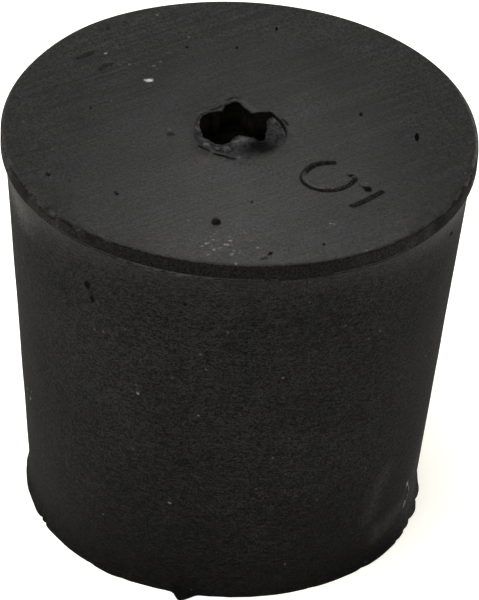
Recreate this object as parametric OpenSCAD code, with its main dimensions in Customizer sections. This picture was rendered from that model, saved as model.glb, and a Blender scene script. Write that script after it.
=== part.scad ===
// Bored rubber stopper: a tapered plug moulded in one piece, with a band round its wide end.
// The mould has left a thin lip of flash round the narrow end, and a skin of rubber over the
// wide end of the bore, which has been pushed through and hangs torn in the mouth.
// Millimetres. The origin is the centre of the narrow end, and +Z runs up the bore.

/* [Plug] */
// Diameter of the wide end, across the band
top_d = 27; // [26:0.5:34]
// Diameter of the narrow end, without its lip of flash
base_d = 23; // [18:0.5:24]
// Height from the narrow end to the wide end
height = 25; // [16:0.5:45]

/* [Rim] */
// Height of the straight band round the wide end
band_h = 1; // [0.5:0.1:2]
// Height over which the side curves out to meet the band
flare_h = 1.65; // [1:0.05:3]
// How far the band stands out past the line of the taper
flare_out = 0.37; // [0.2:0.01:0.8]
// Bevel on the edge of the wide end
edge_bevel = 0.1; // [0.05:0.01:0.3]

/* [Bore] */
// Diameter of the bore, which takes a tube or a thermometer
bore_d = 4.8; // [3.5:0.1:7]

/* [Torn mouth] */
// How far the mouth of the bore is torn back past the bore's wall
tear_back = 0.35; // [0.2:0.05:0.8]
// How far the middle of the mouth lies from the bore's axis, towards -Y
tear_shift = 0.5; // [0.4:0.05:0.8]
// Thickness of the skin that hangs in the mouth
skin_t = 0.4; // [0.25:0.05:0.7]
// How far the skin is pushed in at the middle of the mouth
skin_sag = 0.8; // [0.4:0.05:1.2]
// Clear height between the skin and the floor of the mouth
mouth_room = 0.4; // [0.2:0.05:1]

/* [Flash at the narrow end] */
// Thickness of the lip of flash
flash_t = 0.35; // [0.2:0.05:0.6]
// Mean reach of the lip past the narrow end
flash_w = 0.2; // [0.18:0.01:0.5]
// How much further the lip reaches at the two sides than at front and back
flash_swing = 0.12; // [0:0.01:0.14]
// Longest stray tab of flash, measured past the lip
tab_reach = 0.85; // [0.3:0.05:1.2]

/* [Hidden] */
$fn = 96;

top_r = top_d / 2;
base_r = base_d / 2;
bore_r = bore_d / 2;
neck_r = top_r - flare_out;         // the taper's radius where the flare starts
band_z = height - band_h;           // lower edge of the band
neck_z = band_z - flare_h;          // where the flare starts
flare_steps = 8;

mouth_r = bore_r + tear_back;
skin_drop = 0.05;                   // the skin's edge lies this far below the wide end
skin_root = 0.15;                   // how deep the skin's edge is set into the wall
skin_low = height - skin_drop - skin_sag - skin_t;  // lowest point of the skin
mouth_z = skin_low - mouth_room;    // floor of the torn mouth
lap = 0.1;                          // cuts run this far past the faces that they open

flash_ripple = 0.03;
flash_step = 3;                     // degrees between the points of the lip's outline
// Stray tabs of flash: direction in degrees, share of tab_reach, half width in degrees
flash_tabs = [[-101, 1, 4.5], [7, 0.25, 5], [-150, 0.12, 3]];

// Outline of the hole torn in the skin, as shares of the mouth's radius from its middle:
// the ragged front edge, the slit behind the loose flap, the tongue and the notch at the back
torn_front = [[-0.83, 0.18], [-0.74, -0.1], [-0.53, -0.23], [-0.38, -0.18], [-0.22, 0.04],
              [-0.09, 0.25], [0.1, 0.25], [0.37, 0.09], [0.53, 0.08], [0.56, 0.6]];
torn_slit = [[0.68, 0.55], [0.84, 0.28], [0.97, 0.02], [1, 0.2], [0.9, 0.5], [0.72, 0.75]];
torn_back = [[0.57, 0.85], [0.24, 0.82], [0.1, 1], [-0.02, 1.18], [-0.2, 1.22], [-0.38, 1.02],
             [-0.66, 0.8], [-0.86, 0.5]];

// The side bends away from the taper slowly at first, then faster, as a cove does
function flare_point(t) = [
    base_r + (neck_r - base_r) * (neck_z + t * flare_h) / neck_z
        + t * t * (top_r - base_r - (neck_r - base_r) * band_z / neck_z),
    neck_z + t * flare_h
];

function tab(a, t) = t[1] * tab_reach * exp(-pow((a - t[0]) / t[2], 2));
function tabs(a) = tab(a, flash_tabs[0]) + tab(a, flash_tabs[1]) + tab(a, flash_tabs[2]);
function lip_r(a) = base_r + flash_w + flash_swing * cos(2 * a)
    + flash_ripple * sin(11 * a + 40) + tabs(a);

// Tapered body with the cove under the band
module plug() {
    rotate_extrude() polygon(concat(
        [[0, 0], [base_r, 0]],
        [for (i = [0 : flare_steps]) flare_point(i / flare_steps)],
        [[top_r, height - edge_bevel], [top_r - edge_bevel, height], [0, height]]
    ));
}

// Thin uneven lip that the mould's parting face has left, flush with the narrow end
module flash() {
    linear_extrude(height = flash_t)
        polygon([for (a = [-180 : flash_step : 180 - flash_step]) lip_r(a) * [cos(a), sin(a)]]);
}

// Shallow funnel of rubber that closed the bore before it was pushed through
module skin() {
    edge_r = mouth_r + skin_root;
    edge_z = height - skin_drop + skin_sag * skin_root / mouth_r;
    middle_z = skin_low + skin_t;
    translate([0, -tear_shift, 0]) rotate_extrude() polygon([
        [0, skin_low], [edge_r, edge_z - skin_t], [edge_r, edge_z], [0, middle_z]
    ]);
}

// The bore, from the narrow end to the floor of the mouth
module bore() {
    translate([0, 0, -lap]) cylinder(r = bore_r, h = mouth_z + 2 * lap);
}

// The wider pocket that tearing the skin has opened at the wide end
module mouth() {
    translate([0, -tear_shift, mouth_z]) cylinder(r = mouth_r, h = height - mouth_z + lap);
}

// The ragged hole in the skin, cut down to just below it
module tear() {
    translate([0, -tear_shift, skin_low - lap])
        linear_extrude(height = height - skin_low + 2 * lap)
            polygon(mouth_r * concat(torn_front, torn_slit, torn_back));
}

module stopper() {
    color([0.24, 0.24, 0.23]) difference() {
        union() {
            difference() {
                union() {
                    plug();
                    flash();
                }
                bore();
                mouth();
            }
            skin();
        }
        tear();
    }
}

stopper();
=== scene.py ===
# %% [markdown]
# # A bored rubber stopper
# This lesson models and finishes the stopper of a laboratory flask: a tapered plug of black rubber,
# 27 mm across, with a hole down the middle for a glass tube. It is one moulded piece, so it is one
# object here. Everything is in metres and +Z is up; the stopper stands on its narrow end.
#
# The first cell loads the measured solid that the model has to agree with.

# %% Load the measured solid
import math

import bpy
from mathutils import Matrix, Vector, noise


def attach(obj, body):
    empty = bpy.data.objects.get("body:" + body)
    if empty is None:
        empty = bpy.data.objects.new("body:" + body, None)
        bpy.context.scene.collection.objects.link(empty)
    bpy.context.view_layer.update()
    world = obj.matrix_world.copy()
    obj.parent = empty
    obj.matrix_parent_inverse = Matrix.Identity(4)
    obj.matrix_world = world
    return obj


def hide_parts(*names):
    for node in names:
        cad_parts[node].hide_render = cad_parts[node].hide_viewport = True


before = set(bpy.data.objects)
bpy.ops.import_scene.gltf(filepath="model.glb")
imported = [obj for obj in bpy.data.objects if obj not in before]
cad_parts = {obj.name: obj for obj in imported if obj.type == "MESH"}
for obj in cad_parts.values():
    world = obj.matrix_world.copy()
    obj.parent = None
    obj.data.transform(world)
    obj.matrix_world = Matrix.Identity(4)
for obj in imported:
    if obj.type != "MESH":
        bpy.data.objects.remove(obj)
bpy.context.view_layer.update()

MM = 0.001
print("solids:", sorted(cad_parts))

# %% [markdown]
# ## The camera
# A long lens from a quarter of a metre away, 36 degrees above the table, sees the whole wide end and
# the front of the side. The camera's three axes are worked out from its elevation, and then turned
# a little about the line of sight, because the stopper stands slightly askew in the frame.

# %% Camera
ELEVATION = math.radians(35.92)
ROLL = math.radians(3.1)
DISTANCE = 240 * MM
SENSOR_MM = 36.0
LENS_MM = 246.7
# The camera aims at a point halfway up the axis, then a little to the right and up, in millimetres
AIM_Z = 12.5
AIM_RIGHT = 0.466
AIM_UP = 0.386


def add_object(operator, name, **settings):
    """Deselects everything, adds one object with an operator, and names it."""
    bpy.ops.object.select_all(action="DESELECT")
    operator(**settings)
    added = bpy.context.object
    added.name = name
    return added


towards_camera = Vector((0, -math.cos(ELEVATION), math.sin(ELEVATION)))
level_right = Vector((1, 0, 0))
level_up = towards_camera.cross(level_right)
aim = Vector((0, 0, AIM_Z * MM)) + AIM_RIGHT * MM * level_right + AIM_UP * MM * level_up
camera_right = math.cos(ROLL) * level_right + math.sin(ROLL) * level_up
camera_up = -math.sin(ROLL) * level_right + math.cos(ROLL) * level_up

camera = add_object(bpy.ops.object.camera_add, "camera")
camera.data.sensor_width = SENSOR_MM
camera.data.lens = LENS_MM
camera.data.clip_start = 0.01
turn = Matrix((camera_right, camera_up, towards_camera)).transposed()
camera.matrix_world = Matrix.Translation(aim + DISTANCE * towards_camera) @ turn.to_4x4()
bpy.context.scene.camera = camera
print("camera at", [round(c / MM, 1) for c in camera.location], "mm")

# %% [markdown]
# ## The floor and the light
# Black rubber shows almost nothing but what it reflects, so the light is large and soft: an even grey
# sky and one wide panel overhead. A small gridded beam from behind lays a faint pool of light on the
# wide end. The floor is a pale and slightly warm sheet that glows a little, like the lit table of a
# product photographer: it stays nearly white and keeps only a faint shadow round the stopper's foot.

# %% Floor
FLOOR_SIZE = 3.0
FLOOR_WHITE = (0.9, 0.88, 0.83, 1)
FLOOR_GLOW_COLOUR = (1, 0.97, 0.91, 1)
FLOOR_GLOW = 0.5

floor = add_object(bpy.ops.mesh.primitive_plane_add, "floor", size=FLOOR_SIZE, location=(0, 0, 0))
floor_paper = bpy.data.materials.new("pale_floor")
floor_paper.use_nodes = True
paper = floor_paper.node_tree.nodes["Principled BSDF"]
for name, value in (("Base Color", FLOOR_WHITE), ("Roughness", 1.0), ("Specular IOR Level", 0.0),
                    ("Emission Color", FLOOR_GLOW_COLOUR), ("Emission Strength", FLOOR_GLOW)):
    paper.inputs[name].default_value = value
floor.data.materials.append(floor_paper)
print("floor", FLOOR_SIZE, "m across")

# %% Light
SKY_GREY = (0.632, 0.622, 0.585, 1)


def soft_panel(name, place, target, size, watts, spread_degrees=180.0):
    """A square soft light, turned to face a target; place, target and size in millimetres."""
    panel = add_object(bpy.ops.object.light_add, name, type="AREA")
    panel.data.size = size * MM
    panel.data.energy = watts
    panel.data.spread = math.radians(spread_degrees)
    spot = Vector(place) * MM
    turn = (Vector(target) * MM - spot).to_track_quat("-Z", "Y").to_matrix()
    panel.matrix_world = Matrix.Translation(spot) @ turn.to_4x4()


world = bpy.data.worlds.new("studio")
bpy.context.scene.world = world
world.use_nodes = True
sky = world.node_tree.nodes["Background"]
sky.inputs["Color"].default_value = SKY_GREY
sky.inputs["Strength"].default_value = 1.0
soft_panel("overhead_panel", place=(-130, -40, 600), target=(0, 0, 20), size=500, watts=4.0)
soft_panel("gridded_beam", place=(1.5, 154.1, 139.5), target=(0.5, -10.5, 25.0), size=4,
           watts=0.000143, spread_degrees=6.8)
bpy.context.scene.view_settings.view_transform = "Standard"

# %% [markdown]
# ## The plug as a stack of rings
# A stopper is turned-looking: every height has its own radius. One way is to draw half of its
# outline and spin it. Here one circle is extruded ring by ring instead, from the foot of the bore,
# out under the base, up the side, in over the wide end, down through the torn mouth and back down
# the bore. Each ring keeps the same points, so that later steps can shape a ring by its name.

# %% Sizes, in millimetres
HEIGHT = 25.0
TOP_R = 13.5
BASE_R = 11.5
# The taper ends at the neck; the cove runs from there to the band, which a burr edges below
NECK_R = 13.13
NECK_Z = 22.35
COVE_TOP = 23.88
BAND_Z = 24.0
BURR_Z = 24.09
# Tearing has widened the bore near the wide end, down to the floor of a pocket
BORE_R = 2.4
MOUTH_R = 2.75
POCKET_Z = 23.35
# The lip of flash ends at this height
LIP_TOP = 1.5
# How round the edge of the wide end is, where it is sound and where it is rubbed
EDGE_R = 0.15
WORN_R = 0.6
SEGMENTS = 480


def taper_r(z):
    """Radius of the straight taper at a height."""
    return BASE_R + (NECK_R - BASE_R) * z / NECK_Z


def cove_r(z):
    """Radius at a height in the cove, where the side bends out to meet the band."""
    t = (z - NECK_Z) / (BAND_Z - NECK_Z)
    return taper_r(z) + t * t * (TOP_R - taper_r(BAND_Z))


print("radius of the taper under the cove:", round(taper_r(NECK_Z), 2), "mm")

# %% Rings of the outside
# Each ring: name, radius, height, and a share from 0 to 1 for how far along its part it lies
LIP_RINGS = ((0.9, 0.0), (1.0, 0.06), (0.98, 0.14), (0.85, 0.24), (0.6, 0.4), (0.38, 0.6),
             (0.2, 0.85), (0.08, 1.15), (0.0, LIP_TOP))
SIDE_STEPS = 27
COVE_STEPS = 10
BAND_STEPS = 7
EDGE_STEPS = 8

rings = [("bore", BORE_R, 0.0, 0.0)]
for radius in (2.7, 5.0, 8.0, 10.4, 11.1):
    rings.append(("base", radius, 0.0, 0.0))
for share, height in LIP_RINGS:
    rings.append(("lip", taper_r(height), height, share))
for step in range(1, SIDE_STEPS + 1):
    z = LIP_TOP + (NECK_Z - LIP_TOP) * step / SIDE_STEPS
    rings.append(("side", taper_r(z), z, 0.0))
for step in range(1, COVE_STEPS + 1):
    z = NECK_Z + (COVE_TOP - NECK_Z) * step / COVE_STEPS
    rings.append(("side", cove_r(z), z, 0.0))
for radius, height, share in ((13.47, 23.93, 0.6), (TOP_R, 23.98, 1.0), (TOP_R, 24.04, 0.85),
                              (13.49, BURR_Z, 0.1)):
    rings.append(("band", radius, height, share))
for step in range(1, BAND_STEPS + 1):
    rings.append(("band", TOP_R, BURR_Z + 0.1 * step, 0.0))
for step in range(1, EDGE_STEPS + 1):
    roll = math.pi / (2 * EDGE_STEPS) * step
    radius = TOP_R - EDGE_R * (1 - math.cos(roll))
    rings.append(("edge", radius, HEIGHT - EDGE_R * (1 - math.sin(roll)), step / EDGE_STEPS))
print(len(rings), "rings outside")

# %% Rings of the wide end and the mouth
TOP_RINGS = (13.25, 13.1, 12.95, 12.7, 12.2, 11.5, 10.5, 9.5, 8.5, 7.5, 6.5, 5.6, 4.9, 4.3, 3.9, 3.6,
             3.4, 3.25, 3.12, 3.0, 2.9, 2.82)
FLAT_R = TOP_R - EDGE_R
SKIN_STEPS = 20

for radius in TOP_RINGS:
    rings.append(("top", radius, HEIGHT, (FLAT_R - radius) / (FLAT_R - MOUTH_R)))
rings.append(("skin", MOUTH_R, HEIGHT, 0.0))
for step in range(1, SKIN_STEPS + 1):
    rings.append(("skin", MOUTH_R - 0.06 * step, HEIGHT - 0.02 * step, step / SKIN_STEPS))
# From here on the rings get their places from the torn outline, so that their plain places only
# have to follow one another: down the rag of the edge, back under the skin and along the pocket
for share in (0.15, 0.5, 0.85, 1.0):
    rings.append(("rag", 1.5, 24.4, share))
for share in (0.2, 0.5, 0.8, 1.0):
    rings.append(("under", 1.6 + share, 24.2, share))
for share in (0.4, 1.0):
    rings.append(("pocket", 2.7, 24.2 - 0.85 * share, share))
rings.append(("ledge", 2.5, POCKET_Z, 0.5))
for z in (POCKET_Z, 23.0, 20.0, 15.0, 10.0, 5.0, 1.0):
    rings.append(("bore", BORE_R, z, 0.0))
print(len(rings), "rings of", SEGMENTS, "points")

# %% Extrude the rings
stopper = add_object(bpy.ops.mesh.primitive_circle_add, "stopper_rubber", vertices=SEGMENTS,
                     radius=BORE_R * MM, location=(0, 0, 0))
bpy.ops.object.mode_set(mode="EDIT")
bpy.ops.mesh.select_all(action="SELECT")
for (_, radius_now, height_now, _), (_, radius, height, _) in zip(rings, rings[1:]):
    rise = (0, 0, (height - height_now) * MM)
    bpy.ops.mesh.extrude_edges_move(TRANSFORM_OT_translate={"value": rise})
    widening = radius / radius_now
    bpy.ops.transform.resize(value=(widening, widening, 1), center_override=(0, 0, 0))
bpy.ops.mesh.select_all(action="DESELECT")
bpy.ops.mesh.select_mode(type="EDGE")
bpy.ops.mesh.select_non_manifold()
bpy.ops.mesh.bridge_edge_loops()
bpy.ops.mesh.select_mode(type="VERT")
bpy.ops.object.mode_set(mode="OBJECT")
print(len(stopper.data.vertices), "points,", len(stopper.data.polygons), "faces")

# %% [markdown]
# ## The torn mouth
# The mould closed the bore with a thin skin, and a tube has been pushed through it. What is left is
# a ragged opening: a notch at the back, a tongue and a loose flap at the right, and lumps of skin
# sagging at the front. A lathe can't make that. The outline of the mouth and the edge of the torn
# skin are therefore drawn as corners on the wide end, in millimetres, and the rings between them
# are laid from one to the other.

# %% Outlines of the mouth and of the torn edge
# Corners on the wide end, in millimetres
TEAR_MIDDLE = (-0.3, 1.0)
mouth_corners = [
    (2.7, -0.3), (2.6, 0.3), (2.3, 0.95), (2.0, 1.4), (1.68, 1.85), (1.35, 1.82), (0.95, 1.75),
    (0.68, 1.6), (0.4, 1.87), (0.13, 2.2), (-0.1, 2.62), (-0.33, 2.78), (-0.7, 2.65), (-1.02, 2.3),
    (-1.08, 1.93), (-1.17, 1.68), (-1.68, 1.56), (-2.3, 1.18), (-2.57, 0.35), (-2.63, -0.5),
    (-2.56, -1.26), (-2.32, -1.85), (-2.05, -2.14), (-1.73, -2.37), (-1.36, -2.57), (-0.8, -2.76),
    (-0.37, -3.0), (0.1, -3.14), (0.63, -3.2), (1.3, -2.95), (1.75, -2.5), (2.16, -2.0), (2.35, -1.75),
    (2.58, -1.35), (2.63, -0.8),
]
# The torn edge also has a depth below the wide end and the thickness of the skin there
torn_corners = [
    (1.45, 0.1, 0.25, 0.2), (1.49, 0.62, 0.2, 0.14), (1.5, 1.12, 0.14, 0.1), (1.56, 1.32, 0.1, 0.08),
    (1.84, 1.45, 0.02, 0.03), (1.65, 1.82, 0.01, 0.02), (1.33, 1.79, 0.01, 0.02),
    (0.93, 1.72, 0.01, 0.02), (0.66, 1.57, 0.02, 0.03), (0.38, 1.85, 0.01, 0.02),
    (0.11, 2.18, 0.01, 0.02), (-0.11, 2.59, 0.01, 0.02), (-0.33, 2.75, 0.01, 0.02),
    (-0.67, 2.6, 0.02, 0.02), (-0.98, 2.25, 0.02, 0.03), (-1.04, 1.9, 0.02, 0.02),
    (-1.14, 1.65, 0.01, 0.02), (-1.65, 1.53, 0.01, 0.02), (-2.22, 1.14, 0.03, 0.04),
    (-2.38, 0.6, 0.1, 0.1), (-2.3, 0.15, 0.14, 0.14), (-2.22, -0.35, 0.18, 0.16),
    (-2.02, -0.87, 0.22, 0.2), (-1.55, -1.02, 0.34, 0.22), (-1.35, -1.3, 0.36, 0.24),
    (-1.0, -1.2, 0.4, 0.26), (-0.77, -1.0, 0.44, 0.26), (-0.55, -0.78, 0.48, 0.3),
    (-0.4, -0.42, 0.46, 0.3), (-0.25, -0.15, 0.44, 0.3), (-0.05, -0.1, 0.4, 0.3),
    (0.34, -0.2, 0.4, 0.3), (0.7, -0.18, 0.42, 0.3), (0.9, -0.38, 0.46, 0.3), (1.23, -0.47, 0.4, 0.3),
    (1.42, -0.4, 0.3, 0.24),
]


def round_the_tear(corners):
    """Corners sorted by their direction from the tear's middle, with their reach from it."""
    found = []
    for x, y, *rest in corners:
        across, along = x - TEAR_MIDDLE[0], y - TEAR_MIDDLE[1]
        found.append((math.atan2(along, across), math.hypot(across, along), *rest))
    found.sort()
    first, last = found[0], found[-1]
    return [(last[0] - math.tau, *last[1:])] + found + [(first[0] + math.tau, *first[1:])]


def at_direction(sorted_corners, angle):
    """Reach, and whatever else the corners hold, between the two corners at an angle."""
    for before, after in zip(sorted_corners, sorted_corners[1:]):
        if angle <= after[0]:
            break
    t = (angle - before[0]) / max(after[0] - before[0], 1e-9)
    return [b + (a - b) * t for b, a in zip(before[1:], after[1:])]


mouth_line = round_the_tear(mouth_corners)
torn_line = round_the_tear(torn_corners)
print(len(mouth_corners), "corners in the mouth,", len(torn_corners), "in the torn edge")

# %% [markdown]
# ## Shaping the rings
# Moulded rubber is never quite round. The outside is about a tenth of a millimetre out of round, with
# slow waves and a few broad bulges; the lip of flash at the narrow end reaches further at its two
# sides and is nicked where it tore; and some stretches of the rim are rubbed soft. These are formulas
# on the angle round the axis, which is what a sculptor's grab brush would do, but even and repeatable.

# %% Noise and bumps
def clamped(value, top=1.0):
    """A value kept between 0 and a top."""
    return min(top, max(0.0, value))


def fading(gap, reach):
    """1 at no distance, and falling smoothly towards 0 past a reach."""
    return math.exp(-((gap / reach) ** 2))


def bump(angle, centre, half_width):
    """A smooth bump of height 1 round a direction, in degrees."""
    return fading((angle - centre + 180) % 360 - 180, half_width)


def round_spot(x, y, cx, cy, radius):
    """1 in the middle of a round spot, and falling smoothly to 0 outside it."""
    return math.exp(-((x - cx) ** 2 + (y - cy) ** 2) / radius ** 2)


def grain_at(x, y, scale, seed):
    """Smooth noise at a place, from about -0.5 to 0.5; each seed has its own pattern."""
    return noise.noise((scale * x, scale * y, seed))


def grain_round(angle, scale, seed):
    """Smooth noise round a circle, at a direction in degrees."""
    a = math.radians(angle)
    return grain_at(math.cos(a), math.sin(a), scale, seed)


print("noise at one place:", round(grain_at(0.3, 0.4, 1.0, 0.5), 3))

# %% Formulas for the outside
# Notches in the lip: direction, depth and half width; then tabs: direction, height and half width
LIP_NICKS = (
    (-154.2, 0.12, 0.7), (-151.4, 0.12, 0.7), (-129.0, 0.05, 1.2), (-118.0, 0.04, 1.5),
    (-62.0, 0.05, 1.2), (-44.0, 0.06, 1.0), (-27.5, 0.06, 0.8), (-22.0, 0.07, 0.8), (-17.0, 0.1, 1.1),
    (-7.5, 0.08, 1.1), (38.0, 0.12, 1.2), (77.0, 0.1, 1.0), (131.0, 0.14, 1.2),
)
LIP_TABS = (
    (-99.9, 0.7, 1.9), (-12.3, 0.1, 2.2), (-2.5, 0.06, 2.5), (-97.4, 0.3, 1.8), (58.0, 0.2, 3.0),
    (112.0, 0.12, 5.0),
)
# Rubbed stretches of the rim: direction, half width and how far it is rubbed
RUBBED = ((-140, 7, 1.0), (-130, 5, 0.7), (-122, 3, 0.4), (-16, 15, 0.85), (150, 20, 0.2))


def out_of_round(angle, z):
    """How far the outside stands out past a true circle; it grows with the height."""
    a = math.radians(angle)
    # Slow waves, each with its height and turn, and then broad bulges
    wave = (0.066 * math.cos(a + 2.91) + 0.041 * math.cos(3 * a + 2.06)
            + 0.06 * math.cos(4 * a - 2.88) + 0.06 + 0.06 * math.cos(a - 1.05)
            + 0.07 * bump(angle, -8, 35) + 0.09 * bump(angle, 133, 14) + 0.03 * bump(angle, 75, 25))
    return wave * z / HEIGHT


def lip_reach(angle):
    """How far the soft lip stands out past the narrow end, in millimetres."""
    a = math.radians(angle)
    reach = 0.16 + 0.16 * math.cos(2 * a) - 0.05 * math.cos(4 * a)
    reach += 0.11 * bump(angle, -121, 9) + 0.13 * bump(angle, -34, 15)
    reach += 0.03 * grain_round(angle, 3, 0.4)
    reach += 0.035 * grain_round(angle, 14, 1.7)
    for centre, depth, half_width in LIP_NICKS:
        reach -= depth * bump(angle, centre, half_width)
    return reach


def tab_reach(angle):
    """How far the thin tabs of flash stand out past the lip, in millimetres."""
    return sum(height * bump(angle, centre, half_width) for centre, height, half_width in LIP_TABS)


def rubbed(angle):
    """1 where the rim is rubbed soft, falling to 0 away from there."""
    return max(share * bump(angle, centre, half_width) for centre, half_width, share in RUBBED)


def burr(angle):
    """How much of the mould's parting line stands proud under the band."""
    ragged = 0.5 + 0.5 * grain_round(angle, 22, 5.2)
    ragged += 0.7 * grain_round(angle, 60, 1.1)
    return max(0.0, ragged) * (bump(angle, -106, 18) + 0.6 * bump(angle, -56, 8)
                               + 0.25 * bump(angle, 80, 50))


print("lip reach at the front:", round(lip_reach(-90), 3), "mm, at the side:", round(lip_reach(0), 3))

# %% Formulas for the mouth
# Lumps and hollows of the hanging skin: x, y, radius and height
SKIN_LUMPS = (
    (1.1, -1.2, 0.6, -0.28), (1.35, -1.8, 0.4, -0.12), (-1.84, -1.71, 0.28, 0.14),
    (-0.76, -1.91, 0.26, 0.2), (-1.49, -2.4, 0.22, 0.1), (-0.04, -2.9, 0.2, 0.1),
    (0.28, -0.74, 0.4, 0.12), (-0.11, -0.98, 0.3, 0.1), (-1.2, -2.05, 0.22, -0.1),
    (-0.3, -2.35, 0.35, -0.12), (0.1, -1.6, 0.4, -0.12), (2.0, -0.2, 0.4, 0.06),
)
# How hollow the wide end is, and how deep the clean step is where the skin starts
DISH_DEPTH = 0.1
STEP_DEPTH = 0.08


def dish(x, y):
    """How far the wide end lies below its rim: it is slightly hollow."""
    return DISH_DEPTH * (1 - (math.hypot(x, y) / TOP_R) ** 2)


def top_z(x, y):
    """Height of the slightly hollow wide end."""
    return HEIGHT - dish(x, y)


def roll_off(angle):
    """1 where the wide end rolls down into the mouth without an edge, in radians round the tear."""
    return bump(math.degrees(angle), -58, 17)


def skin_relief(x, y):
    """Height of the lumps and the torn grain of the skin at a place."""
    high = 0.0
    for cx, cy, radius, height in SKIN_LUMPS:
        high += height * round_spot(x, y, cx, cy, radius)
    high += 0.07 * grain_at(x, y, 2.6, 3.1)
    high += 0.05 * grain_at(x, y, 6.5, 8.2)
    return high


def skin_depth(share, angle, torn_depth):
    """Depth of the skin below the wide end, from the mouth's edge at 0 to the torn edge at 1."""
    soft = roll_off(angle)
    # The step is low at the left, and it is gone where the wide end rolls in
    step = STEP_DEPTH * (1 - soft) * min(1.0, share / 0.06)
    step *= 1 - 0.7 * bump(math.degrees(angle), 185, 35)
    funnel = torn_depth * (share ** (1.0 + 0.8 * soft))
    return min(step, torn_depth) + funnel * 0.9


print("depth halfway at the front:", round(skin_depth(0.5, -1.6, 0.45), 3), "mm")

# %% Points of the outside
# How uneven the side is, and how far the burr stands out, with its root that starts at a height
SIDE_UNEVEN = 0.02
BURR_OUT = 0.17
BURR_ROOT = 0.07
BURR_ROOT_Z = 23.5
# How deep the ragged outer border of a rubbed edge is
RUBBED_RAG = 0.2


def outside_point(ring, angle, x, y):
    """Distance from the axis and height of a point outside; x, y is its direction of length 1."""
    name, radius, z, share = ring
    if name == "lip":
        return radius + share * lip_reach(angle) + share ** 6 * tab_reach(angle), z
    r = radius + out_of_round(angle, z)
    if name == "side":
        r += SIDE_UNEVEN * grain_at(x, y, 0.5 * radius, 0.4 * z)
        r += BURR_ROOT * burr(angle) * clamped((z - BURR_ROOT_Z) / 0.4) ** 2
        return r, z
    worn = rubbed(angle)
    if name == "band":
        r += BURR_OUT * share * burr(angle)
        flank_end = 1 - worn * (WORN_R - EDGE_R) / (HEIGHT - BURR_Z)
        return r, z if z < BURR_Z else BURR_Z + (z - BURR_Z) * flank_end
    ragged = worn * grain_at(x, y, 1.3 * radius, 2.5)
    ragged += worn * 0.6 * grain_at(x, y, 3.1 * radius, 6.5)
    roll = share * math.pi / 2
    worn_r = TOP_R - WORN_R * (1 - math.cos(roll))
    worn_z = HEIGHT - WORN_R * (1 - math.sin(roll))
    r = radius + (worn_r - radius) * worn + out_of_round(angle, z)
    return r, z + (worn_z - z) * worn - RUBBED_RAG * (1 - share) * max(0.0, ragged)


print("the band at the right:", outside_point(("band", TOP_R, BAND_Z + 0.5, 0.0), 0.0, 1.0, 0.0))

# %% Points of the wide end and the mouth
# How far the pocket reaches out past the mouth, and how far it lies under the torn edge
POCKET_WIDER = 0.12
POCKET_DROP = 0.45
# The skin's relief and the wide end's dish are full at this distance from the mouth's edge
RELIEF_FROM = 0.8
DISH_FROM = 0.5
# How far from the mouth the wide end starts to roll down into it, and how deep
ROLL_FROM = 0.7
ROLL_DEPTH = 0.1


def z_of_skin(share, angle, torn_depth, dip):
    """Height of the skin between the mouth's edge and the torn edge."""
    return HEIGHT - dip - skin_depth(share, angle, torn_depth)


def from_tear(reach, x, y):
    """The place at a reach from the tear's middle, in the direction x, y of length 1."""
    return TEAR_MIDDLE[0] + reach * x, TEAR_MIDDLE[1] + reach * y


def between(first, second, share):
    """The place at a share of the way from one place to another."""
    return [f + (s - f) * share for f, s in zip(first, second)]


def mouth_point(ring, a, x, y):
    """Place of a point on the wide end, on the skin or in the pocket; x, y is the direction a."""
    name, _, z, share = ring
    reach = at_direction(mouth_line, a)[0]
    uneven = 1 + 0.012 * grain_at(x, y, 9, 4.4) + 0.01 * grain_at(x, y, 23, 9.4)
    mouth = from_tear(reach * uneven, x, y)
    dip = ROLL_DEPTH * roll_off(a)
    if name == "top":
        angle = math.degrees(a)
        r = FLAT_R + out_of_round(angle, z) - (WORN_R - EDGE_R) * rubbed(angle)
        px, py = between((r * x, r * y), mouth, share)
        gap = math.dist((px, py), mouth)
        rolled = dip * max(0.0, 1 - gap / ROLL_FROM) ** 2
        return px, py, z - rolled - dish(px, py) * min(1.0, gap / DISH_FROM)
    torn, torn_depth, thick = at_direction(torn_line, a)
    torn *= 1 + 0.03 * grain_at(x, y, 7, 1.2) + 0.02 * grain_at(x, y, 19, 7.7)
    torn_edge = from_tear(torn, x, y)
    room = min(1.0, math.dist(torn_edge, mouth) / RELIEF_FROM)
    if name == "skin":
        px, py = between(mouth, torn_edge, share)
        relief = skin_relief(px, py) * room * min(1.0, share / 0.25)
        return px, py, z_of_skin(share, a, torn_depth, dip) + relief
    edge_z = z_of_skin(1.0, a, torn_depth, dip) + skin_relief(*torn_edge) * room
    pocket = from_tear(reach + POCKET_WIDER, x, y)
    if name == "rag":
        tuck = 0.03 * math.sin(math.pi * share)
        return torn_edge[0] - tuck * x, torn_edge[1] - tuck * y, edge_z - thick * share
    if name == "under":
        low = edge_z - thick - POCKET_DROP * share + 0.12 * share * (torn_depth - 0.05)
        return *between(torn_edge, pocket, share), low
    if name == "pocket":
        high = edge_z - thick - POCKET_DROP + 0.12 * (torn_depth - 0.05)
        return *pocket, high + (POCKET_Z - high) * share
    return (pocket[0] + BORE_R * x) / 2, (pocket[1] + BORE_R * y) / 2, POCKET_Z


print("a point of the skin:", mouth_point(("skin", 0.0, HEIGHT, 0.5), 0.0, 1.0, 0.0))

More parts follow.
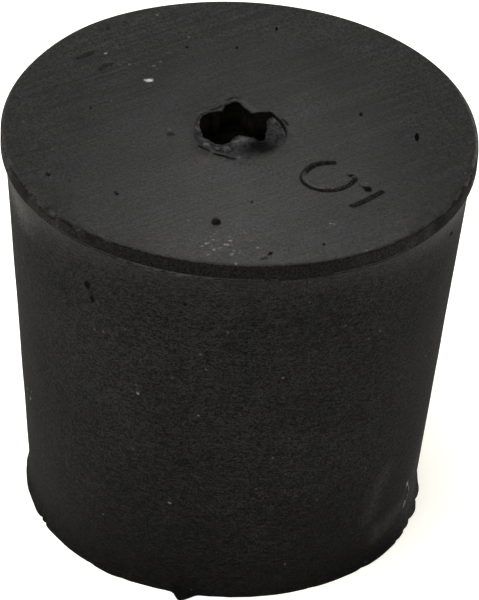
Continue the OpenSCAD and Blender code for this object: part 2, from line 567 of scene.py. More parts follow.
# %% Lay the rings
def place_point(ring, co):
    """The shaped place, in millimetres, of a point that stands on a plain ring."""
    name, radius, z, _ = ring
    a = math.atan2(co.y, co.x)
    x, y = math.cos(a), math.sin(a)
    if name in ("bore", "base"):
        return radius * x, radius * y, z
    if name in ("lip", "side", "band", "edge"):
        r, z = outside_point(ring, math.degrees(a), x, y)
        return r * x, r * y, z
    return mouth_point(ring, a, x, y)


for vertex in stopper.data.vertices:
    ring = rings[vertex.index // SEGMENTS]
    vertex.co = Vector(place_point(ring, vertex.co)) * MM
stopper.data.update()
print("size in mm:", [round(s / MM, 2) for s in stopper.dimensions])

# %% [markdown]
# Spun and bridged shells can end up inside out, so the faces are turned outwards once the shape is
# closed. A closed shell is needed for the cuts that follow.

# %% Turn the faces outwards
def select_only(thing):
    """Makes one object the only selected one, and the active one."""
    bpy.ops.object.select_all(action="DESELECT")
    thing.select_set(True)
    bpy.context.view_layer.objects.active = thing


def turn_outwards(merge_within=0.0):
    """Merges points that lie within a distance in millimetres, then turns all faces outwards."""
    bpy.ops.object.mode_set(mode="EDIT")
    bpy.ops.mesh.select_all(action="SELECT")
    if merge_within:
        bpy.ops.mesh.remove_doubles(threshold=merge_within * MM)
    bpy.ops.mesh.normals_make_consistent(inside=False)
    bpy.ops.object.mode_set(mode="OBJECT")


def count_open_edges(thing):
    """Selects the edges that don't join exactly two faces, and counts them."""
    bpy.ops.object.mode_set(mode="EDIT")
    bpy.ops.mesh.select_all(action="DESELECT")
    bpy.ops.mesh.select_mode(type="EDGE")
    bpy.ops.mesh.select_non_manifold()
    bpy.ops.object.mode_set(mode="OBJECT")
    return sum(edge.select for edge in thing.data.edges)


select_only(stopper)
turn_outwards()
print("open edges:", count_open_edges(stopper))

# %% [markdown]
# ## The size number and the marks
# A plain 5 stands up from the wide end, low and soft-edged, as it came out of the mould, and two
# strokes of a worn mark are left across from it. A stroke is a tube swept along a drawn path and
# sunk until only its top shows. It is joined on, and so are a few warts of stray rubber.

# %% Tubes along drawn paths
def swept_tube(name, path, radius, taper):
    """A closed round tube along a path of points in millimetres, thinner at its ends."""
    line = add_object(bpy.ops.curve.primitive_bezier_curve_add, name, location=(0, 0, 0)).data
    line.splines.clear()
    spline = line.splines.new("NURBS")
    spline.points.add(len(path) - 1)
    spline.use_endpoint_u = True
    spline.order_u = 3
    for count, (point, place) in enumerate(zip(spline.points, path)):
        point.co = (*(Vector(place) * MM), 1)
        at_end = count in (0, len(path) - 1)
        point.radius = taper if at_end else 1.0
    line.dimensions = "3D"
    line.bevel_depth = radius * MM
    line.bevel_resolution = 7
    line.resolution_u = 6
    line.use_fill_caps = True
    bpy.ops.object.convert(target="MESH")
    turn_outwards(merge_within=0.001)
    return bpy.context.object


print("tubes ready")

# %% The raised strokes
# Paths of the raised strokes, each with the radius of its tube and how much of it shows
DIGIT_STROKES = {
    "head": (((5.46, -2.9), (4.95, -2.94), (4.4, -3.1), (3.95, -3.5), (3.78, -3.85)), 0.33, 0.1),
    "bowl": (((4.4, -3.14), (3.93, -3.56), (3.58, -4.3), (3.66, -5.0),
              (4.1, -5.5), (4.7, -5.74), (5.35, -5.7), (5.93, -5.38), (6.42, -4.75), (6.58, -4.25),
              (6.42, -3.98), (6.16, -4.16)), 0.25, 0.09),
    "stem": (((6.78, -4.86), (7.0, -5.15), (7.25, -5.4)), 0.26, 0.07),
    "bar": (((6.34, -7.02), (6.44, -7.16), (6.9, -6.72), (7.5, -6.14), (8.07, -5.54)), 0.3, 0.1),
    "worn_0": (((-9.62, 6.36), (-9.18, 6.84), (-8.72, 7.32)), 0.5, 0.1),
    "worn_1": (((-8.28, 5.3), (-8.1, 5.75), (-7.85, 6.02), (-7.52, 6.12)), 0.45, 0.09),
}
# The parts of the 5 that get painted shade all over: its head, the near right of the bowl and the bar
SHADED_STROKES = (DIGIT_STROKES["head"][0], DIGIT_STROKES["bar"][0],
                ((4.9, -5.82), (5.4, -5.76), (5.97, -5.44), (6.46, -4.8), (6.52, -4.62)))
WORN_STROKES = (DIGIT_STROKES["worn_0"][0], DIGIT_STROKES["worn_1"][0])

ridges = []
grooves = []
for name, (path, radius, height) in DIGIT_STROKES.items():
    sunk = [(x, y, top_z(x, y) + height - radius) for x, y in path]
    ridges.append(swept_tube(name, sunk, radius, taper=0.9))
print(len(ridges), "raised strokes")

# %% [markdown]
# ## Pits, warts, cracks and the slit behind the flap
# Small bubbles in the rubber opened as pits, and the torn mouth has cracks running along its edge. A
# pit is cut with a small ball, squashed to its shape, and a wart is such a ball joined on. A crack is
# a thin tube cut away. The slit that frees the flap is a tapering wedge of air that follows the
# mouth's right side.

# %% Pits and warts
# Pits in the wide end: x, y, half width, half length, depth, turn in degrees
TOP_PITS = (
    (10.0, 0.08, 0.13, 0.44, 0.24, 0), (1.78, 10.75, 0.08, 0.26, 0.16, 0),
    (-0.48, 8.48, 0.08, 0.16, 0.1, 0), (4.89, -10.98, 0.1, 0.14, 0.1, 0),
    (0.86, -7.24, 0.08, 0.13, 0.1, 0), (-10.49, -5.64, 0.2, 0.27, 0.055, 0),
    (-8.56, 1.3, 0.08, 0.1, 0.08, 0), (6.81, 2.17, 0.12, 0.2, 0.1, 0), (-8.07, 9.7, 0.1, 0.2, 0.1, 0),
    (-7.06, 10.49, 0.12, 0.2, 0.08, 30), (-3.39, 8.26, 0.09, 0.14, 0.09, 0),
    (-6.6, -7.2, 0.14, 0.1, 0.1, 20), (-3.9, -1.0, 0.26, 0.14, 0.1, 10),
)
# Warts of stray rubber on the wide end: x, y, half width, half length, height; first the big pimple,
# then the knot that ends the stem of the 5
TOP_WARTS = (
    (-1.05, -9.42, 0.28, 0.28, 0.26), (7.26, -5.44, 0.22, 0.22, 0.18), (-3.95, -0.72, 0.2, 0.16, 0.1),
    (-6.68, -7.0, 0.12, 0.1, 0.08),
)
PIMPLE, KNOT = (wart[:2] for wart in TOP_WARTS[:2])
# Pits in the side: direction in degrees, height, half width, half height
SIDE_PITS = (
    (-127.4, 21.0, 0.22, 0.3), (-125.9, 20.15, 0.17, 0.26), (-101.0, 21.75, 0.12, 0.12),
    (-23.5, 22.15, 0.17, 0.14), (62.0, 14.0, 0.15, 0.15), (150.0, 18.5, 0.12, 0.16),
)
print(len(TOP_PITS) + len(SIDE_PITS), "pits and", len(TOP_WARTS), "warts")

# %% Balls for the pits and warts
def squashed_ball(name, place, sizes, turn=0):
    """A ball with three half sizes at a place, in millimetres, turned by degrees about +Z."""
    ball = add_object(bpy.ops.mesh.primitive_ico_sphere_add, name, subdivisions=2, radius=1,
                      location=Vector(place) * MM, rotation=(0, 0, math.radians(turn)),
                      scale=Vector(sizes) * MM)
    bpy.ops.object.transform_apply(location=True, rotation=True, scale=True)
    return ball


def round_axis(angle, away, z):
    """A place from its direction in degrees, its distance from the axis and its height."""
    return away * math.cos(math.radians(angle)), away * math.sin(math.radians(angle)), z


def on_side(angle, z):
    """A place on the tapered side, from its direction in degrees and its height."""
    return round_axis(angle, taper_r(z) + out_of_round(angle, z), z)


for count, (x, y, half_w, half_l, high) in enumerate(TOP_WARTS):
    ridges.append(squashed_ball(f"wart_{count}", (x, y, top_z(x, y)), (half_w, half_l, high)))
for count, (x, y, half_w, half_l, deep, turn) in enumerate(TOP_PITS):
    grooves.append(squashed_ball(f"top_pit_{count}", (x, y, top_z(x, y)), (half_w, half_l, deep), turn))
for count, (angle, z, half_w, half_h) in enumerate(SIDE_PITS):
    grooves.append(squashed_ball(f"side_pit_{count}", on_side(angle, z), (half_w, half_w, half_h)))
print(len(grooves), "balls to cut away")

# %% Cracks, nicks and creases
# Cracks along the mouth's edge, with the radius of each, and how deep their middle lies
MOUTH_CRACKS = (
    ((-2.28, -2.02), (-2.05, -2.24), (-1.85, -2.36), (-1.62, -2.52)),
    ((-1.42, -2.7), (-1.05, -2.86), (-0.8, -2.9), (-0.6, -3.08), (-0.2, -3.14)),
    ((-1.75, 1.72), (-1.45, 1.95), (-1.12, 2.22)),
    ((-0.86, 2.88), (-0.66, 3.08), (-0.4, 3.24), (-0.2, 3.14)),
    ((2.36, 1.15), (2.55, 0.9), (2.66, 0.6)),
)
CRACK_RADII = (0.085, 0.08, 0.055, 0.065, 0.035)
CRACK_DEPTH = 0.04
# Two nicks in the edge of the wide end, at the front
NICKS = (((1.5, -12.72, HEIGHT), (1.8, -12.66, HEIGHT), (2.02, -12.4, HEIGHT)),
         ((1.9, -12.5, HEIGHT), (1.98, -12.2, HEIGHT), (2.04, -11.95, HEIGHT)))
NICK_RADIUS = 0.17
# Creases and ridges of flash on the side: a path of direction and height, and its radius
SIDE_CREASES = (
    (((-23.0, 3.75), (-21.2, 3.2), (-20.5, 2.7), (-21.0, 2.3), (-21.9, 2.0)), 0.06),
    (((-158.6, 3.7), (-158.2, 3.1)), 0.05), (((-123.6, 20.95), (-122.7, 20.5)), 0.06),
    (((-102.0, 21.35), (-100.2, 21.35)), 0.05),
)

for count, (path, radius) in enumerate(zip(MOUTH_CRACKS, CRACK_RADII)):
    sunk = [(x, y, HEIGHT - CRACK_DEPTH) for x, y in path]
    grooves.append(swept_tube(f"crack_{count}", sunk, radius, taper=0.5))
for count, path in enumerate(NICKS):
    grooves.append(swept_tube(f"nick_{count}", path, NICK_RADIUS, taper=0.6))
for count, (path, radius) in enumerate(SIDE_CREASES):
    places = [on_side(angle, z) for angle, z in path]
    ridges.append(swept_tube(f"crease_{count}", places, radius, taper=0.4))
print(len(grooves), "cutters")

# %% The slit behind the flap
SLIT_OUTER = (
    (1.5, 1.88), (1.74, 1.77), (2.0, 1.4), (2.31, 0.95), (2.55, 0.3), (2.63, -0.3), (2.6, -0.8),
)
SLIT_INNER = ((2.57, -0.5), (2.52, -0.12), (2.38, 0.4), (2.12, 0.97), (1.8, 1.42), (1.42, 1.52))
SLIT_FLOOR = 23.9
SLIT_HEIGHT = 1.3

corners = SLIT_OUTER + SLIT_INNER
slit = add_object(bpy.ops.mesh.primitive_circle_add, "slit", vertices=len(corners), radius=MM,
                  location=(0, 0, 0), fill_type="NGON")
for vertex, (x, y) in zip(slit.data.vertices, corners):
    vertex.co = Vector((x, y, SLIT_FLOOR)) * MM
bpy.ops.object.mode_set(mode="EDIT")
bpy.ops.mesh.select_all(action="SELECT")
bpy.ops.mesh.extrude_region_move(TRANSFORM_OT_translate={"value": (0, 0, SLIT_HEIGHT * MM)})
bpy.ops.object.mode_set(mode="OBJECT")
turn_outwards()
grooves.append(slit)
print("slit with", len(corners), "corners")

# %% [markdown]
# ## Joining and cutting
# The strokes, warts and creases are joined on first. Then the pits, cracks, nicks and the slit are
# cut away. Each step is one Boolean modifier with a collection of tools, applied at once.

# %% Join and cut
def combine(target, tools, operation):
    """Applies one boolean of all the tools to the target, and removes the tools."""
    gathered = bpy.data.collections.new(operation.lower())
    bpy.context.scene.collection.children.link(gathered)
    for tool in tools:
        gathered.objects.link(tool)
    step = target.modifiers.new(operation.lower(), "BOOLEAN")
    step.operation = operation
    step.operand_type = "COLLECTION"
    step.collection = gathered
    step.solver = "MANIFOLD"
    select_only(target)
    bpy.ops.object.modifier_apply(modifier=step.name)
    for tool in tools:
        bpy.data.objects.remove(tool)
    bpy.data.collections.remove(gathered)
    print(operation.lower(), "leaves", len(target.data.polygons), "faces")


combine(stopper, ridges, "UNION")
combine(stopper, grooves, "DIFFERENCE")

# %% Clean and smooth
MERGE_WITHIN = 0.0005
SHARP_FROM = math.radians(38)

bpy.ops.object.mode_set(mode="EDIT")
bpy.ops.mesh.select_mode(type="VERT")
bpy.ops.mesh.select_all(action="SELECT")
bpy.ops.mesh.remove_doubles(threshold=MERGE_WITHIN * MM)
bpy.ops.mesh.dissolve_degenerate(threshold=MERGE_WITHIN * MM)
bpy.ops.object.mode_set(mode="OBJECT")
print("open edges after the cuts:", count_open_edges(stopper))
bpy.ops.object.shade_smooth_by_angle(angle=SHARP_FROM)
print("triangles:", sum(len(face.vertices) - 2 for face in stopper.data.polygons))

# %% [markdown]
# ## Where the rubber is torn, dark or pale
# The torn skin, the painted shade in its hollow, in pits, in cracks and on the near sides of raised
# marks, the stains of the rim, the pale bleached places and the painted highlights fade into each
# other, so they can't be drawn with a border between two materials. Each point of the mesh gets three
# numbers instead, kept as attributes that the materials read: how torn it is, how dark it is from
# stains and painted shade, and how pale it is from dust, bleaching, painted sheen and painted
# highlights.

# %% Measures for the marks
# Painted shade in the mouth's hollow: x, y, radius and strength; then lumps that are paler than the rest
HOLLOW_SHADE_SPOTS = (
    (1.1, -1.1, 0.7, 1.0), (1.5, -1.7, 0.65, 1.0), (0.7, -1.8, 0.55, 0.85), (1.2, -0.7, 0.3, 0.6),
    (2.1, -0.9, 0.4, 0.35), (-1.2, -2.05, 0.25, 0.6),
)
PALE_SPOTS = (
    (-1.84, -1.71, 0.22, 1.0), (-0.76, -1.91, 0.2, 1.0), (-1.49, -2.35, 0.12, 0.8),
    (-0.04, -2.9, 0.12, 0.9), (0.28, -0.74, 0.3, 1.0), (-0.11, -0.98, 0.26, 1.0),
    (0.67, -0.8, 0.2, 1.0), (1.9, 1.1, 0.15, 1.0), (-2.14, -1.08, 0.2, 0.5), (-2.42, -0.1, 0.2, 0.4),
    (-2.38, 0.5, 0.14, 0.5), (-1.2, -1.75, 0.15, 0.6),
)
# Further away than this, a path is as good as out of sight
FAR_AWAY = 9.0


def torn_share(x, y):
    """1 on the torn skin, 0 on the ground end; the border is soft where the mouth rolls in."""
    across, along = x - TEAR_MIDDLE[0], y - TEAR_MIDDLE[1]
    angle = math.atan2(along, across)
    inside = 1 - math.hypot(across, along) / at_direction(mouth_line, angle)[0]
    return clamped(0.5 + inside / (0.03 + 0.35 * roll_off(angle)))


def distance_to_path(place, path):
    """Distance in millimetres from a place to a path of straight stretches, up to a limit."""
    nearest = FAR_AWAY
    for start, end in zip(path, path[1:]):
        run = Vector(end) - Vector(start)
        off = Vector(place) - Vector(start)
        nearest = min(nearest, (off - clamped(off.dot(run) / run.length_squared) * run).length)
    return nearest


def nearest_of(place, paths):
    """Distance from a place to the nearest of several paths."""
    return min(distance_to_path(place, path) for path in paths)


def strongest(x, y, spots):
    """The strongest of several soft round spots at a place."""
    return max(strength * round_spot(x, y, cx, cy, radius) for cx, cy, radius, strength in spots)


def strongest_stain(place, stains):
    """The strongest at a place of several soft stains, each a path, a radius and a strength."""
    return max(strength * fading(distance_to_path(place, path), radius)
               for path, radius, strength in stains)


def window(angle, first, last, softness):
    """1 between two directions in degrees, fading to 0 outside them."""
    width = (last - first) % 360
    off = (angle - first) % 360
    inside = min(off, width - off) if off < width else -min(off - width, 360 - off)
    return clamped(0.5 + inside / softness)


print("torn at the hollow:", round(torn_share(*HOLLOW_SHADE_SPOTS[0][:2]), 2))

# %% Marks of the mouth and the wide end
# A pale crease runs along the right flank of the mouth's notch
NOTCH_CREASE = ((0.1, 2.8), (0.5, 2.25), (0.85, 1.92), (1.2, 1.9))
# Painted shade covers a shaded stroke this far from its middle, and is densest in the outer part
STROKE_SHADE_REACH = 0.28
DENSE_FROM = 0.17
# What lies lower than this is a pit, and what rises higher than this is a raised mark
PIT_FROM = -0.012
RAISED_FROM = 0.004


def mouth_marks(x, y):
    """Shade and paleness of the torn skin: painted shade in the hollow, pale lumps and the flap's pale
    edge.
    """
    edge = 0.25 * clamped(1.6 - distance_to_path((x, y), SLIT_INNER) / 0.05)
    return clamped(1.4 * strongest(x, y, HOLLOW_SHADE_SPOTS)), max(edge, strongest(x, y, PALE_SPOTS))


def cracked_marks(x, y, z, torn):
    """Shade and paleness round the mouth: its marks, painted shade in the cracks and the crease beside
    it.
    """
    soot_and_shade, pale_and_highlight = mouth_marks(x, y)
    crease = 0.28 * clamped(1.6 - distance_to_path((x, y), NOTCH_CREASE) / 0.06) * (1 - torn)
    # The cracks are painted dark inside: painted shade
    crack = clamped(2.4 - nearest_of((x, y), MOUTH_CRACKS) / 0.06) * clamped((24.995 - z) / 0.03)
    crack *= 0.85 + 0.6 * grain_at(x, y, 9, 0.3)
    return max(soot_and_shade * torn, crack * (1 - torn)), max(crease, pale_and_highlight * clamped(2 * torn))


def end_shade_and_highlights(x, y, z, normal):
    """Painted shade and highlights of the wide end: shade in pits, on the knot, on strokes and near
    sides.
    """
    above = z - top_z(x, y)
    # Pits are painted dark inside: painted shade
    if above < PIT_FROM:
        return clamped(-above / 0.11, 0.65), 0.0
    if above < RAISED_FROM:
        return 0.0, 0.0
    # The knot is painted dark: painted shade
    if math.dist((x, y), KNOT) < 0.26:
        return 0.7, 0.0
    slow = grain_at(x, y, 5, 0.6)
    # The shaded strokes of the 5 get painted shade
    gap = nearest_of((x, y), SHADED_STROKES)
    if gap < STROKE_SHADE_REACH:
        speckled = grain_at(x, y, 9, 5.1)
        if gap > DENSE_FROM:
            return clamped(0.85 + 0.6 * speckled, 0.97), 0.0
        thin = 0.45 if y > -5 else 0.15
        return clamped(thin + 1.2 * speckled, 0.95), clamped(-0.5 * speckled)
    # The worn strokes get painted shade on their near sides and a painted highlight on their far sides
    if x < 0 and y > 0:
        faded = fading(nearest_of((x, y), WORN_STROKES), 0.3) * (1 + 0.6 * slow)
        return (clamped(1.1 * faded, 0.95) if normal.y < 0.15 else 0.0), 0.12 * clamped(normal.y / 0.2)
    # Other raised faces get painted shade on the sides that face the front
    uneven = 1 + 1.5 * slow + 1.5 * grain_at(x, y, 12, 3.3)
    return clamped((-normal.y - 0.02) / 0.15, 0.4 if normal.y < -0.25 else 0.9) * uneven, 0.0


print("soot and paleness in the hollow:", [round(m, 2) for m in mouth_marks(*HOLLOW_SHADE_SPOTS[0][:2])])

# %% Marks of the rim
# Dark stains and scratches of the rim: a path of direction, distance from the axis and height, its
# radius and its strength
RIM_STAINS = (
    (((-153.2, 13.6, 24.5), (-151.0, 13.6, 24.6), (-148.0, 13.6, 24.55)), 0.34, 0.75),
    (((-145.6, 13.65, 24.27), (-143.0, 13.65, 24.3), (-140.6, 13.64, 24.4)), 0.15, 0.6),
    (((-141.2, 13.5, 24.8), (-138.6, 13.39, 24.89)), 0.12, 0.9),
    (((-134.8, 13.57, 24.8), (-132.4, 13.55, 24.82), (-130.6, 13.51, 24.82), (-128.2, 13.42, 24.9)),
     0.13, 0.7),
    (((-126.0, 13.57, 24.7), (-124.6, 13.57, 24.62)), 0.22, 0.7),
    (((-122.8, 13.51, 24.82), (-122.4, 13.5, 24.82)), 0.1, 0.7),
    (((-32.2, 13.62, 24.46), (-34.6, 13.62, 24.42)), 0.34, 1.0),
    (((-34.6, 13.62, 24.36), (-37.0, 13.62, 24.3)), 0.15, 0.6),
    (((-34.5, 13.6, 24.8), (-37.1, 13.57, 24.93)), 0.1, 0.7),
    (((-37.5, 13.55, 24.86), (-42.0, 13.55, 24.84), (-47.0, 13.55, 24.86)), 0.1, 0.7),
)
# Bleached stretches of the rim: first and last direction, softness and strength
BLEACHED = ((-14, 24, 8, 1.0), (-27, -14, 6, 0.35), (-47, -36.5, 3, 0.3), (-62, -47, 5, 0.12),
            (-140, -133.5, 5, 0.5), (-147.3, -139, 2.5, 0.6))
# The rim's marks start at this distance from the axis, and are full after the width given
RIM_FROM = 13.27
RIM_FADE = 0.06

rim_stains = [([round_axis(*point) for point in path], radius, strength)
              for path, radius, strength in RIM_STAINS]


def rim_marks(x, y, z):
    """Soot and paleness of the rim: stains, rubbed chips, bleached stretches and a painted burr
    highlight.
    """
    angle = math.degrees(math.atan2(y, x))
    coarse = grain_round(angle, 16, 2.1 + z)
    fine = grain_at(x, y, 5.0, 5.0 * z)
    mottled = clamped(0.5 + 1.2 * coarse + 2.0 * fine)
    on_rim = clamped((math.hypot(x, y) - out_of_round(angle, z) - RIM_FROM) / RIM_FADE)
    worn = clamped(1.5 * rubbed(angle)) * on_rim
    chips = 0.6 * worn * clamped(2.5 * (coarse + 0.5 * fine))
    stain = strongest_stain((x, y, z), rim_stains) * (0.75 + 0.5 * fine)
    bleached = max(strength * window(angle, first, last, softness)
                   for first, last, softness, strength in BLEACHED)
    far_left = 0.27 * window(angle, 168, -157.5, 3) + 0.16 * bump(angle, -161, 5)
    bleached = max(bleached, far_left, 0.3 * rubbed(angle))
    on_edge = clamped((z - 24.8) / 0.1) * window(angle, -30, 60, 8)
    # A painted highlight along the burr under the band
    painted_burr_highlight = 0.35 * clamped(1.6 * burr(angle)) * clamped((BURR_Z - z) / 0.04) * (0.4 + mottled)
    return max(chips, stain), max(painted_burr_highlight, bleached * on_rim * (0.15 + 0.7 * mottled + 0.2 * on_edge))


print("marks at the left of the rim:", [round(m, 2) for m in rim_marks(-13.5, 0.0, 24.5)])

# %% Marks of the side
# Dusty smudges beside the right foot: a path of direction and height, its radius and its strength
FOOT_SMUDGES = (
    (((-38.4, 6.7), (-40.9, 5.6), (-43.0, 3.8)), 0.65, 0.03),
    (((-15.5, 4.6), (-18.5, 3.0), (-24.0, 2.3), (-31.0, 1.95), (-38.0, 1.9)), 0.6, 0.055),
    (((-12.0, 6.5), (-14.5, 5.0), (-16.0, 3.4)), 0.55, 0.06),
)
# How many millimetres a degree is round the side, at the crease and at the smudges
CREASE_MM = 0.21
SMUDGE_MM = 0.2

white_crease = [(CREASE_MM * angle, z) for angle, z in SIDE_CREASES[0][0]]
smudges = [([(SMUDGE_MM * angle, z) for angle, z in path], radius, strength)
           for path, radius, strength in FOOT_SMUDGES]


def side_dust_and_sheen(x, y, z):
    """How pale the side is: the white crease, a painted sheen in the cove, the dusty feet and painted
    light.
    """
    angle = math.degrees(math.atan2(y, x))
    crease = 0.6 * clamped(1.8 - distance_to_path((CREASE_MM * angle, z), white_crease) / 0.03)
    # A painted sheen in the cove at the left
    sheen = 0.1 * bump(angle, -156, 8) * fading(z - 22.4, 0.95)
    foot = 0.07 * bump(angle, -11, 14) * fading(z, 5.0)
    smudge = strongest_stain((SMUDGE_MM * angle, z), smudges)
    # Painted light on the left of the side, below the band and near the foot
    painted_left_light = 0.009 * bump(angle, -128, 22) * fading(z - 17, 7)
    painted_left_light += 0.016 * bump(angle, -147, 18) * fading(z - 3.5, 4)
    return max(crease, sheen, foot, smudge, painted_left_light)


print("paleness at the right foot:", round(side_dust_and_sheen(11.5, -2.0, 1.0), 3))

# %% Write the marks
# The rim starts at this distance from the axis
RIM_REACH = 12.3

marks = {name: stopper.data.attributes.new(name, "FLOAT", "POINT") for name in ("torn", "soot_and_shade", "pale_and_highlight")}
for vertex in stopper.data.vertices:
    x, y, z = vertex.co / MM
    away = math.hypot(x, y)
    soot_and_shade = pale_and_highlight = torn = 0.0
    if away < 4.5 and z > 23.8:
        torn = torn_share(x, y)
        soot_and_shade, pale_and_highlight = cracked_marks(x, y, z, torn)
    elif away < RIM_REACH and z > 24.5:
        soot_and_shade, pale_and_highlight = end_shade_and_highlights(x, y, z, vertex.normal)
    elif z > BAND_Z - 0.06:
        soot_and_shade, pale_and_highlight = rim_marks(x, y, z)
    elif away > 10:
        pale_and_highlight = side_dust_and_sheen(x, y, z)
    # The pocket's floor is painted dark: painted shade in the recess
    elif POCKET_Z - 0.1 < z < POCKET_Z + 0.5:
        soot_and_shade = 0.9
    for name, value in (("torn", torn), ("soot_and_shade", soot_and_shade), ("pale_and_highlight", pale_and_highlight)):
        marks[name].data[vertex.index].value = value
print("marks:", sorted(marks))

# %% [markdown]
# ## Five finishes of one rubber
# The rubber is one compound, but its surface isn't one finish. The wide end was ground flat and has
# fine parallel scratches; the torn skin is crumbly; the side carries the leathery grain of the mould;
# the band is smooth and dark; and the walls of the bore are dull black. Each gets its own material,
# and the faces are given theirs by where they lie. The band's dark finish is also given to pits and
# to the near sides of raised marks on the wide end, as painted shade.
#
# A link knows the board of nodes that it belongs to, so most helpers need only the value to work on.

# %% Node helpers
def feed(socket, value):
    """Sets a socket to a plain value, or links another node's result to it."""
    if isinstance(value, bpy.types.NodeSocket):
        socket.id_data.links.new(value, socket)
    else:
        socket.default_value = value


def add_node(board, kind, sockets, **settings):
    """A node with its settings, and with its sockets fed by their names or numbers."""
    node = board.nodes.new("ShaderNode" + kind)
    for key, value in settings.items():
        setattr(node, key, value)
    for key, value in sockets.items():
        feed(node.inputs[key], value)
    return node


def new_finish(name):
    """A new material, its board of nodes and its shader."""
    finish = bpy.data.materials.new(name)
    finish.use_nodes = True
    board = finish.node_tree
    return finish, board, board.nodes["Principled BSDF"]


def object_place(board, scale=(1, 1, 1), turn=0.0):
    """Object coordinates, turned about +Z and scaled, in millimetres times the scale."""
    place = add_node(board, "TexCoord", {}).outputs["Object"]
    if turn:
        place = add_node(board, "Mapping", {"Vector": place, "Rotation": (0, 0, turn)}).outputs["Vector"]
    return add_node(board, "Mapping", {"Vector": place, "Scale": Vector(scale) / MM}).outputs["Vector"]


def cloudy(place, scale, detail, roughness):
    """A noise texture's value at a place; it swings round 0.5."""
    sockets = {"Vector": place, "Scale": scale, "Detail": detail, "Roughness": roughness}
    return add_node(place.id_data, "TexNoise", sockets).outputs["Fac"]


def part_of(place, axis):
    """One of the three numbers of a place."""
    return add_node(place.id_data, "SeparateXYZ", {"Vector": place}).outputs[axis]


def mark_of(board, name):
    """The value of one of the mesh's marks."""
    return add_node(board, "Attribute", {}, attribute_name=name).outputs["Fac"]


print("places and clouds ready")

# %% Helpers for values
def spread(value, low, high, new_low=0.0, new_high=1.0):
    """Maps a value's range to another, and keeps it inside."""
    sockets = {"Value": value, "From Min": low, "From Max": high, "To Min": new_low, "To Max": new_high}
    return add_node(value.id_data, "MapRange", sockets, clamp=True).outputs["Result"]


def math_node(operation, first, second=0.0):
    """A math node between a link and a number or another link."""
    return add_node(first.id_data, "Math", {0: first, 1: second}, operation=operation).outputs["Value"]


def times(first, second):
    """The product of a link and a number or another link."""
    return math_node("MULTIPLY", first, second)


def plus(first, second):
    """The sum of a link and a number or another link."""
    return math_node("ADD", first, second)


def blend(share, first, second):
    """Mixes two colours, each a plain colour or a link, by a share."""
    mix = add_node(share.id_data, "Mix", {"Factor": share}, data_type="RGBA")
    sockets = [s for s in mix.inputs if s.type == "RGBA"]
    for socket, colour in zip(sockets, (first, second)):
        feed(socket, (*colour, 1) if isinstance(colour, tuple) else colour)
    return [s for s in mix.outputs if s.type == "RGBA"][0]


def dress(shader, colour, roughness, gloss, relief, strength, depth):
    """Feeds a shader its colour, roughness and gloss, and bumps of a depth in millimetres."""
    sockets = {"Height": relief, "Strength": strength, "Distance": depth * MM}
    bumps = add_node(shader.id_data, "Bump", sockets).outputs["Normal"]
    for name, value in (("Base Color", colour), ("Roughness", roughness),
                        ("Specular IOR Level", gloss), ("Normal", bumps)):
        feed(shader.inputs[name], value)


print("values and colours ready")

# %% Ragged specks of pale dust and of painted shade
# The pale of dust, also used for painted sheen and painted highlights
DUST_AND_SHEEN_COLOUR = (0.62, 0.61, 0.58)
SPECK_SOFTNESS = 0.5
# How far a speck's outline wanders in millimetres, and how many waves it has to a millimetre
RAGGED_BY = 0.2
RAGGED_SCALE = 7.0


def specks(board, spots):
    """Strength of ragged spots of dust or painted shade, each a place in millimetres, radius and
    strength.
    """
    everywhere = Vector((1, 1, 1))
    place = add_node(board, "TexCoord", {}).outputs["Object"]
    ragged = add_node(board, "TexNoise", {"Vector": place, "Scale": RAGGED_SCALE / MM, "Detail": 1.0})
    sockets = {0: ragged.outputs["Color"], 1: everywhere * RAGGED_BY * MM, 2: place}
    nudge = add_node(board, "VectorMath", sockets, operation="MULTIPLY_ADD").outputs["Vector"]
    total = None
    for spot, radius, strength in spots:
        middle = (Vector(spot) + everywhere * RAGGED_BY / 2) * MM
        gap = add_node(board, "VectorMath", {0: nudge, 1: middle}, operation="DISTANCE").outputs["Value"]
        inner, outer = radius * (1 - SPECK_SOFTNESS) * MM, radius * (1 + SPECK_SOFTNESS) * MM
        mask = spread(gap, inner, outer, strength, 0.0)
        total = mask if total is None else math_node("MAXIMUM", total, mask)
    return total


def scattered(place, scale, radius, strength):
    """Sparse specks of uneven brightness, one in about a third of the cells of a Voronoi texture."""
    board = place.id_data
    cells = add_node(board, "TexVoronoi", {"Vector": place, "Scale": scale})
    chance = add_node(board, "SeparateColor", {"Color": cells.outputs["Color"]}).outputs["Red"]
    inside = spread(cells.outputs["Distance"], radius * 0.5 * scale, radius * scale, 1.0, 0.0)
    return times(inside, spread(chance, 0.65, 1.0, 0.0, strength))


print("specks ready")
